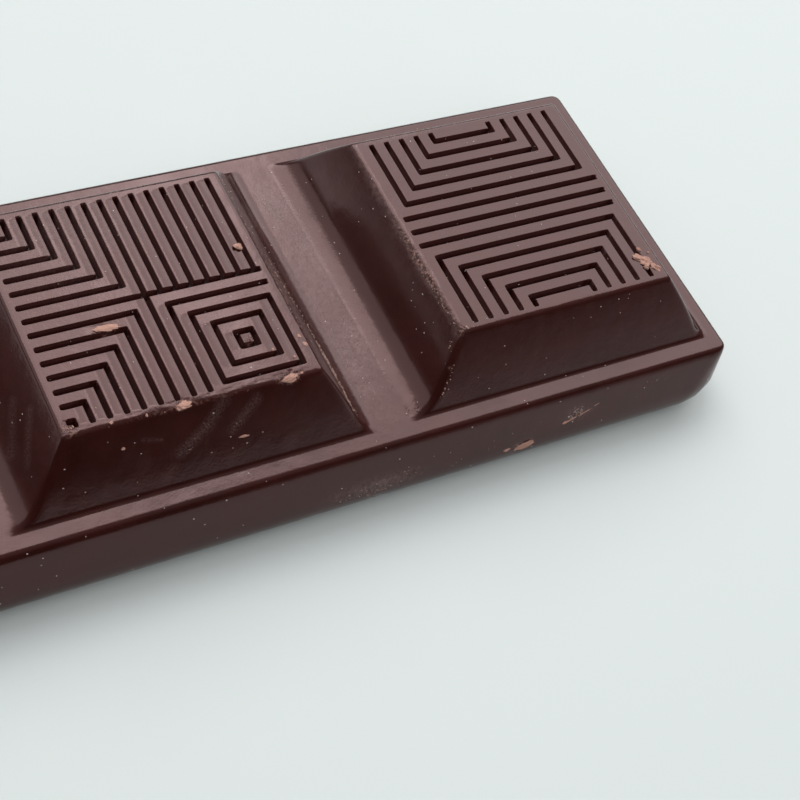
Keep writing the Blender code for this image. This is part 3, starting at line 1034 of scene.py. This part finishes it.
# A crumb's crags: how close together they are and how far they stand out, both on a ball of radius 1
CRAGS = [(1.4, 0.45), (3.6, 0.35)]
GRAIN_SIZES = (0.35, 0.5, 0.5, 0.7, 0.9, 1.4)
GRAIN_LUMPS = (0.3, 1.2)


def add_crumb(bm, start, end, half_width, half_thickness, outward, seed):
    """One broken crumb: a ball pushed in and out along cracks until it is craggy."""
    made = bmesh.ops.create_icosphere(bm, subdivisions=3, radius=1.0)
    start = Vector(start) * MM
    end = Vector(end) * MM
    along = (end - start).normalized()
    across = Vector(outward).cross(along).normalized()
    out = along.cross(across)
    half_length = (end - start).length / 2
    shift = Vector((seed * 7.3, seed * 3.1, 0.0))
    for vert in made["verts"]:
        place = vert.co.copy()
        crag = sum(noise.noise(place * pitch + shift) * height for pitch, height in CRAGS)
        place *= 1 + crag
        vert.co = (start + end) / 2 + along * place.x * half_length
        vert.co += across * place.y * half_width * MM + out * place.z * half_thickness * MM


def grain_shape():
    """Corners and faces of the ball that every grain starts from."""
    bm = bmesh.new()
    bmesh.ops.create_icosphere(bm, subdivisions=1, radius=1.0)
    bm.verts.index_update()
    corners = [vert.co.copy() for vert in bm.verts]
    faces = [[vert.index for vert in face.verts] for face in bm.faces]
    bm.free()
    return corners, faces


def add_grains(bm, line, shape, slot, chance):
    """Loose grains along a path, each a small uneven lump in the material of the given slot."""
    points, count, stray, half_size, outward = line
    points = [Vector(point) * MM for point in points]
    lengths = [(b - a).length for a, b in zip(points, points[1:])]
    out = Vector(outward).normalized()
    corners, faces = shape
    for _ in range(count):
        leg = chance.choices(range(len(lengths)), lengths)[0]
        along = (points[leg + 1] - points[leg]).normalized()
        across = out.cross(along).normalized()
        middle = points[leg].lerp(points[leg + 1], chance.random())
        middle += across * chance.gauss(0.0, stray) * MM
        size = half_size * MM * chance.choice(GRAIN_SIZES)
        verts = [bm.verts.new(middle + corner * size * chance.uniform(*GRAIN_LUMPS)) for corner in corners]
        for face in faces:
            bm.faces.new([verts[i] for i in face]).material_index = slot


class CHOC_OT_crumbs(bpy.types.Operator):
    """Lay the broken crumbs where they cling to the bar"""

    bl_idname = "chocolate.crumbs"
    bl_label = "Crumbs"

    def execute(self, context):
        chance = random.Random(context.scene.chocolate_crumbs.seed)
        bm = bmesh.new()
        for seed, crumb in enumerate(CRUMBS):
            add_crumb(bm, *crumb, seed)
        shape = grain_shape()
        for slot, lines in ((1, GRAIN_LINES), (2, FROST_LINES)):
            for line in lines:
                add_grains(bm, line, shape, slot, chance)
        mesh = bpy.data.meshes.new("crumbs")
        bm.to_mesh(mesh)
        bm.free()
        for material in (broken_chocolate(), loose_grains(), pale_dust()):
            mesh.materials.append(material)
        place_piece(in_scene("crumbs", mesh))
        return {"FINISHED"}


# The least and the most that a speck is scaled, across, along and outward
FLATTEST_SPECK = (0.25, 0.25, 0.15)
LARGEST_SPECK = (0.9, 0.6, 0.35)
# Dust lies neither on faces that look down nor close above the table.
DUST_FACES_UP = -0.05
DUST_LOWEST = 1.5 * MM


def dust_tree():
    """Strews tiny uneven specks over the faces it is given."""
    tree, given = new_tree("strew_dust", [
        ("Density", "NodeSocketFloat"),
        ("Speck Size", "NodeSocketFloat"),
        ("Seed", "NodeSocketInt"),
        ("Material", "NodeSocketMaterial"),
    ])
    add = partial(add_node, tree)
    spread = add(
        "GeometryNodeDistributePointsOnFaces",
        {"Mesh": given["Geometry"], "Density": given["Density"], "Seed": given["Seed"]},
    )
    speck = add("GeometryNodeMeshIcoSphere", {"Radius": given["Speck Size"], "Subdivisions": 1})
    size = add(
        "FunctionNodeRandomValue",
        {0: FLATTEST_SPECK, 1: LARGEST_SPECK, "Seed": given["Seed"]},
        data_type="FLOAT_VECTOR",
    )
    specks = add("GeometryNodeInstanceOnPoints", {
        "Points": spread.outputs["Points"],
        "Instance": speck.outputs["Mesh"],
        "Rotation": spread.outputs["Rotation"],
        "Scale": size,
    })
    end_tree(tree, specks, given["Material"])
    return tree


class CHOC_OT_dust(bpy.types.Operator):
    """Strew the pale dust that clings to the skin"""

    bl_idname = "chocolate.dust"
    bl_label = "Dust"

    def execute(self, context):
        crumbs = context.scene.chocolate_crumbs
        mesh = bpy.data.objects["moulded_bar"].data.copy()
        piece = in_scene("dust", mesh)
        bm = bmesh.new()
        bm.from_mesh(mesh)
        clean = [
            face
            for face in bm.faces
            if face.normal.z < DUST_FACES_UP or face.calc_center_median().z < DUST_LOWEST
        ]
        bmesh.ops.delete(bm, geom=clean, context="FACES")
        area = sum(face.calc_area() for face in bm.faces)
        bm.to_mesh(mesh)
        bm.free()
        made_plain(piece, dust_tree(), {
            "Density": crumbs.dust_count / area,
            "Speck Size": crumbs.dust_size,
            "Seed": crumbs.seed,
            "Material": pale_dust(),
        })
        place_piece(piece)
        return {"FINISHED"}


# ---------------------------------------------------------------- materials


def new_material(name):
    """An empty material, what adds a node to it, and its object coordinates."""
    material = bpy.data.materials.new(name)
    material.use_nodes = True
    material.node_tree.nodes.clear()
    add = partial(add_node, material.node_tree)
    return material, add, add("ShaderNodeTexCoord").outputs["Object"]


def finished(material, finish):
    """Ends the material in one shader with the given inputs."""
    shader = add_node(material.node_tree, "ShaderNodeBsdfPrincipled", finish)
    add_node(material.node_tree, "ShaderNodeOutputMaterial", {"Surface": shader})
    return material


def noise_inputs(place, size, detail, roughness=0.5):
    """What a noise needs so that its blots are about as wide as size, in millimetres."""
    return {"Vector": place, "Scale": 1 / (size * MM), "Detail": detail, "Roughness": roughness}


def stroke(add, place, start, end, half_width):
    """1 along the line between two places in millimetres, fading to 0 at the half width."""
    first = Vector(start) * MM
    along = (Vector(end) - Vector(start)) * MM
    length = along.length
    heading = tuple(along / length)
    from_first = add("ShaderNodeVectorMath", (place, tuple(first)), operation="SUBTRACT")
    distance = add("ShaderNodeVectorMath", (from_first, heading), operation="DOT_PRODUCT")
    distance = distance.outputs["Value"]
    limits = {"Value": distance, "From Min": 0.0, "From Max": length, "To Min": 0.0, "To Max": length}
    held = add("ShaderNodeMapRange", limits)
    nearest = add("ShaderNodeVectorMath", {0: heading, "Scale": held}, operation="SCALE")
    gap = add("ShaderNodeVectorMath", (from_first, nearest), operation="DISTANCE").outputs["Value"]
    return add("ShaderNodeMapRange", {"Value": gap, "From Min": half_width * MM, "From Max": 0.0})


# The chocolate's patterns: blot width in millimetres, detail and roughness of the noise, the two
# levels of it that are stretched, and what they are stretched to
PATTERNS = {
    "mottle": (3.0, 3.0, 0.5, 0.3, 0.7, 0.0, 1.0),
    "patchy": (0.45, 6.0, 0.75, 0.38, 0.68, 0.0, 1.0),
    "streaks": (0.16, 4.0, 0.7, 0.35, 0.75, 0.0, 1.0),
    "crumbled": (0.35, 4.0, 0.6, 0.5, 0.62, 0.0, 1.0),
    "smear": (3.4, 3.0, 0.5, 0.3, 0.7, -0.05, 0.05),
}
# The marks stored on the skin, and the levels between which each starts and is full
MARK_LEVELS = {
    "pressed": ("pressed", 0.2, 0.9),
    "torn_and_edge_highlight": ("wear", 0.25, 0.8),
    "craggy": ("wear", 0.1, 0.8),
}
# How much of its own colour each mark lays over the chocolate, and how much matter it makes it
HAZE_AND_HIGHLIGHT_TINT = 0.4
RUB_AND_HIGHLIGHT_TINT = 0.15
TORN_AND_EDGE_HIGHLIGHT_TINT = 0.8
HAZE_MATT = 0.25
WORN_MATT = 0.4
PRESSED_MATT = 0.3
MOTTLE_SHADE = 0.75
# Painted shade: deep in the grooves the chocolate's colour is darkened to this share, standing in for the
# shadow there.
GROOVE_PAINTED_SHADE = 0.25
# How strong the sandy relief is on clean skin, and how much bloom and rubs add
CLEAN_SAND = 0.35
DRY_SAND = 1.6


def moulded_chocolate():
    """Dark chocolate set in a polished mould: satin, faintly hazy, with soft hollows.

    Cocoa butter at the skin gives a broad soft gloss; where it has bloomed or been rubbed the
    skin turns grey and matt, and where it has crumbled the paler inside shows. The grooves are
    darkened with painted shade, and some of the bloom, rub and broken colours are laid as painted
    highlights along edges, on lands and down the valley.
    """
    colours = bpy.context.scene.chocolate_finish
    material, add, place = new_material("moulded_dark_chocolate")
    marks = {}
    for name in ("bloom", "pressed", "wear"):
        marks[name] = add("ShaderNodeAttribute", attribute_name=name).outputs["Fac"]
    ranges = {
        name: (marks[mark], low, high, 0.0, 1.0) for name, (mark, low, high) in MARK_LEVELS.items()
    }
    for name, (size, detail, roughness, *limits) in PATTERNS.items():
        pattern = add("ShaderNodeTexNoise", noise_inputs(place, size, detail, roughness))
        ranges[name] = (pattern, *limits)
    shares = {}
    for name, (value, low, high, start, end) in ranges.items():
        limits = {"Value": value, "From Min": low, "From Max": high, "To Min": start, "To Max": end}
        shares[name] = add("ShaderNodeMapRange", limits)

    rubs_and_highlights = 0.0
    for start, end, half_width, strength in RUBS_AND_HIGHLIGHTS:
        pale_stroke = stroke(add, place, start, end, half_width)
        pale_stroke = add("ShaderNodeMath", (pale_stroke, strength), operation="MULTIPLY")
        rubs_and_highlights = add("ShaderNodeMath", (rubs_and_highlights, pale_stroke), operation="MAXIMUM")
    rubs_and_highlights = add("ShaderNodeMath", (rubs_and_highlights, shares["streaks"]), operation="MULTIPLY")
    haze_and_highlight = add("ShaderNodeMath", (marks["bloom"], shares["patchy"]), operation="MULTIPLY")
    torn_and_edge_highlight = add("ShaderNodeMath", (shares["torn_and_edge_highlight"], shares["crumbled"]), operation="MULTIPLY")
    tints = [
        add("ShaderNodeMath", (mark, share), operation="MULTIPLY")
        for mark, share in ((haze_and_highlight, HAZE_AND_HIGHLIGHT_TINT), (rubs_and_highlights, RUB_AND_HIGHLIGHT_TINT), (torn_and_edge_highlight, TORN_AND_EDGE_HIGHLIGHT_TINT))
    ]
    # Mottle, then bloom and rubs that are partly painted highlight, painted shade in the grooves, and
    # broken chocolate that is partly painted highlight along the front edges.
    colour = shade(colours.body_colour, MOTTLE_SHADE)
    for share, over in (
        (shares["mottle"], shade(colours.body_colour)),
        (tints[0], shade(colours.bloom_and_highlight_colour)),
        (tints[1], shade(colours.bloom_and_highlight_colour)),
        # Painted shade in the grooves
        (shares["pressed"], shade(colours.body_colour, GROOVE_PAINTED_SHADE)),
        (tints[2], shade(colours.broken_and_edge_highlight_colour)),
    ):
        colour = add("ShaderNodeMix", {0: share, 6: colour, 7: over}, data_type="RGBA").outputs[2]

    worn = add("ShaderNodeMath", (torn_and_edge_highlight, rubs_and_highlights), operation="MAXIMUM")
    matt = add("ShaderNodeMath", (shares["smear"], colours.roughness), operation="ADD")
    for mark, share in ((haze_and_highlight, HAZE_MATT), (worn, WORN_MATT), (shares["pressed"], PRESSED_MATT)):
        more = add("ShaderNodeMath", (mark, share), operation="MULTIPLY")
        matt = add("ShaderNodeMath", (matt, more), operation="ADD")

    # The finest grain is drawn at 0.2 mm: the real one would not show. Bloom makes it sandy.
    dry = add("ShaderNodeMath", (haze_and_highlight, rubs_and_highlights), operation="MAXIMUM")
    dry = add("ShaderNodeMath", (dry, DRY_SAND), operation="MULTIPLY")
    sandy = add("ShaderNodeMath", (CLEAN_SAND, dry), operation="ADD")
    # Blot width in millimetres, detail and roughness of each relief, its strength and its depth
    relief = {}
    for size, detail, roughness, strength, depth in (
        (0.2, 3.0, 0.6, sandy, 0.012),
        (1.6, 3.0, 0.5, 0.55, 0.05),
        (0.3, 4.0, 0.6, shares["craggy"], 0.24),
    ):
        height = add("ShaderNodeTexNoise", noise_inputs(place, size, detail, roughness))
        bump = {"Strength": strength, "Distance": depth * MM, "Height": height}
        relief = {"Normal": add("ShaderNodeBump", {**bump, **relief})}
    return finished(material, {
        "Base Color": colour,
        "Roughness": matt,
        "IOR": 1.56,
        "Specular Tint": (1.0, 0.68, 0.665, 1.0),
        **relief,
    })


def broken_chocolate():
    """Broken dark chocolate: dry, matt and paler than the moulded skin, with a mealy grain."""
    paler = bpy.context.scene.chocolate_finish.broken_and_edge_highlight_colour
    material, add, place = new_material("broken_dark_chocolate")
    meal = add("ShaderNodeTexNoise", noise_inputs(place, 0.35, 4.0, 0.6))
    tones = {0: meal, 6: shade(paler, 0.5), 7: shade(paler)}
    return finished(material, {
        "Base Color": add("ShaderNodeMix", tones, data_type="RGBA").outputs[2],
        "Roughness": 0.8,
        "IOR": 1.45,
        "Normal": add("ShaderNodeBump", {"Strength": 1.0, "Distance": 0.08 * MM, "Height": meal}),
    })


def two_tone(name, blot, deeper, paler, roughness):
    """A matt surface that clouds between two colours in blots of a width in millimetres."""
    material, add, place = new_material(name)
    cloud = add("ShaderNodeTexNoise", noise_inputs(place, blot, 2.0))
    colour = add("ShaderNodeMix", {0: cloud, 6: deeper, 7: paler}, data_type="RGBA").outputs[2]
    return finished(material, {"Base Color": colour, "Roughness": roughness})


def loose_grains():
    """Grains of broken chocolate, small enough to look pale and dry."""
    return two_tone("loose_grains", 0.4, shade(linear("#50322D")), shade(linear("#C4A499")), 0.75)


def pale_dust():
    """Fine dust and dry cocoa powder: matt, off-white to tan."""
    return two_tone("pale_dust", 2.0, shade(linear("#8C7A74")), shade(linear("#D9D0CB")), 0.9)


def matt_table():
    """Smooth painted table top: pale, matt and faintly cool."""
    floor = bpy.context.scene.chocolate_stage.floor_colour
    return two_tone("matt_table", 60.0, shade(floor, 0.97), shade(floor), 0.6)


# ---------------------------------------------------------------- stage

FLOOR_HALF = 1.5
CAMERA_PLACE = (-46.0, -76.6, 123.35)
CAMERA_TURN = (35.79, -14.1, -27.0)
LIGHT_DISTANCE = 1.0
LIGHT_SIZE = 0.8
# Name, direction from +X towards +Y and height above the table in degrees, power in watts,
# and whether the light is seen mirrored in the chocolate.
SOFT_LIGHTS = [
    ("high_back_light", 86, 50, 5.6, True),
    ("low_back_light", 38, 37, 4.1, True),
    ("left_back_light", 138, 42, 1.7, True),
    ("left_fill", 200, 50, 0.9, False),
    ("right_fill", 345, 50, 3.4, False),
    ("front_fill", 275, 50, 2.4, False),
]
# Brightness of the room by the sine of the height above the horizon.
SKY = [(0.0, 0.07), (0.3, 0.09), (0.65, 0.13), (0.87, 0.3), (1.0, 0.3)]
# A side of the room is its direction in degrees, the cosines off it where it starts and is full,
# and how bright it is there. The room is brighter on one side; a pale wall low down on another is
# mirrored in the steep sides of the pads, and a fainter one on the near right in their fronts.
BRIGHT_SIDE = (60, -1.0, 1.0, 0.1, 1.75)
LOW_GLOW = (138, 0.6, 0.95, 0.0, 1.2)
RIGHT_GLOW = (325, 0.78, 0.97, 0.0, 0.6)
# The sines of the heights where the two walls end and are full
GLOW_ENDS = (0.3, 0.05)
SENSOR_WIDTH = 36.0
CLIP = (0.005, 10.0)


def add_floor():
    mesh = bpy.data.meshes.new("table_top")
    corners = [(-1, -1), (1, -1), (1, 1), (-1, 1)]
    mesh.from_pydata([(x * FLOOR_HALF, y * FLOOR_HALF, 0.0) for x, y in corners], [], [(0, 1, 2, 3)])
    mesh.materials.append(matt_table())
    floor = in_scene("table_top", mesh)


def add_sky():
    """Even light all round that fades towards the horizon."""
    world = bpy.data.worlds.new("soft_room")
    world.use_nodes = True
    tree = world.node_tree
    tree.nodes.clear()
    add = partial(add_node, tree)
    direction = add("ShaderNodeTexCoord").outputs["Generated"]
    height = add("ShaderNodeSeparateXYZ", (direction,)).outputs[2]

    def toward(azimuth, low, high, start, end):
        """How bright a side of the room makes a direction."""
        side = (cos(radians(azimuth)), sin(radians(azimuth)), 0.0)
        facing = add("ShaderNodeVectorMath", (direction, side), operation="DOT_PRODUCT")
        facing = facing.outputs["Value"]
        limits = {"Value": facing, "From Min": low, "From Max": high, "To Min": start, "To Max": end}
        return add("ShaderNodeMapRange", limits)

    ramp = add("ShaderNodeValToRGB", {"Fac": height})
    stops = ramp.color_ramp.elements
    while len(stops) < len(SKY):
        stops.new(0.5)
    for stop, (at, grey) in zip(stops, SKY):
        stop.position = at
        stop.color = (grey, grey, grey, 1.0)
    room = add("ShaderNodeMath", (ramp, toward(*BRIGHT_SIDE)), operation="MULTIPLY")
    limits = {"Value": height, "From Min": GLOW_ENDS[0], "From Max": GLOW_ENDS[1]}
    low_down = add("ShaderNodeMapRange", limits)
    glows = add("ShaderNodeMath", (toward(*LOW_GLOW), toward(*RIGHT_GLOW)), operation="ADD")
    glow = add("ShaderNodeMath", (low_down, glows), operation="MULTIPLY")
    both = add("ShaderNodeMath", (room, glow), operation="ADD")
    strength = bpy.context.scene.chocolate_stage.sky_strength
    sky = add("ShaderNodeBackground", {"Color": both, "Strength": strength})
    add("ShaderNodeOutputWorld", {"Surface": sky})
    bpy.context.scene.world = world


def add_lights():
    """Large round lights, so soft that no edge of one shows in the chocolate."""
    for name, azimuth, elevation, power, mirrored in SOFT_LIGHTS:
        light = bpy.data.lights.new(name, "AREA")
        light.shape = "DISK"
        light.size = LIGHT_SIZE
        light.energy = power * bpy.context.scene.chocolate_stage.light_scale
        lamp = in_scene(name, light)
        flat = cos(radians(elevation))
        toward = Vector((
            flat * cos(radians(azimuth)),
            flat * sin(radians(azimuth)),
            sin(radians(elevation)),
        ))
        lamp.location = toward * LIGHT_DISTANCE
        lamp.visible_glossy = mirrored
        lamp.rotation_euler = toward.to_track_quat("Z", "Y").to_euler()


def add_camera():
    camera = bpy.data.cameras.new("camera")
    camera.lens = bpy.context.scene.chocolate_stage.lens
    camera.sensor_width = SENSOR_WIDTH
    camera.clip_start, camera.clip_end = CLIP
    holder = in_scene("camera", camera)
    holder.location = Vector(CAMERA_PLACE) * MM
    holder.rotation_euler = [radians(turn) for turn in CAMERA_TURN]
    bpy.context.scene.camera = holder


class CHOC_OT_stage(bpy.types.Operator):
    """Set up the plain table, the soft light and the camera"""

    bl_idname = "chocolate.stage"
    bl_label = "Stage"

    def execute(self, context):
        add_floor()
        add_sky()
        add_lights()
        add_camera()
        context.scene.view_settings.view_transform = "Standard"
        return {"FINISHED"}


# ---------------------------------------------------------------- panel and registration

OPERATORS = (CHOC_OT_stage, CHOC_OT_moulded_bar, CHOC_OT_crumbs, CHOC_OT_dust)
SETTINGS = (
    ("chocolate_bar", BarSettings),
    ("chocolate_finish", ChocolateSettings),
    ("chocolate_crumbs", CrumbSettings),
    ("chocolate_stage", StageSettings),
)


class VIEW3D_PT_chocolate(bpy.types.Panel):
    """Sizes, colours and steps of the chocolate bar"""

    bl_label = "Chocolate Bar"
    bl_space_type = "VIEW_3D"
    bl_region_type = "UI"
    bl_category = "Chocolate"

    def draw(self, context):
        for name, group in SETTINGS:
            box = self.layout.box()
            for field in group.__annotations__:
                box.prop(getattr(context.scene, name), field)
        for operator in OPERATORS:
            self.layout.operator(operator.bl_idname)


def register():
    for name, group in SETTINGS:
        bpy.utils.register_class(group)
        setattr(bpy.types.Scene, name, PointerProperty(type=group))
    for item in (*OPERATORS, VIEW3D_PT_chocolate):
        bpy.utils.register_class(item)


def unregister():
    for item in reversed((*OPERATORS, VIEW3D_PT_chocolate)):
        bpy.utils.unregister_class(item)
    for name, group in reversed(SETTINGS):
        delattr(bpy.types.Scene, name)
        bpy.utils.unregister_class(group)


def main():
    register()
    bpy.ops.chocolate.stage()
    bpy.ops.chocolate.moulded_bar()
    bpy.ops.chocolate.crumbs()
    bpy.ops.chocolate.dust()


if __name__ == "__main__":
    main()
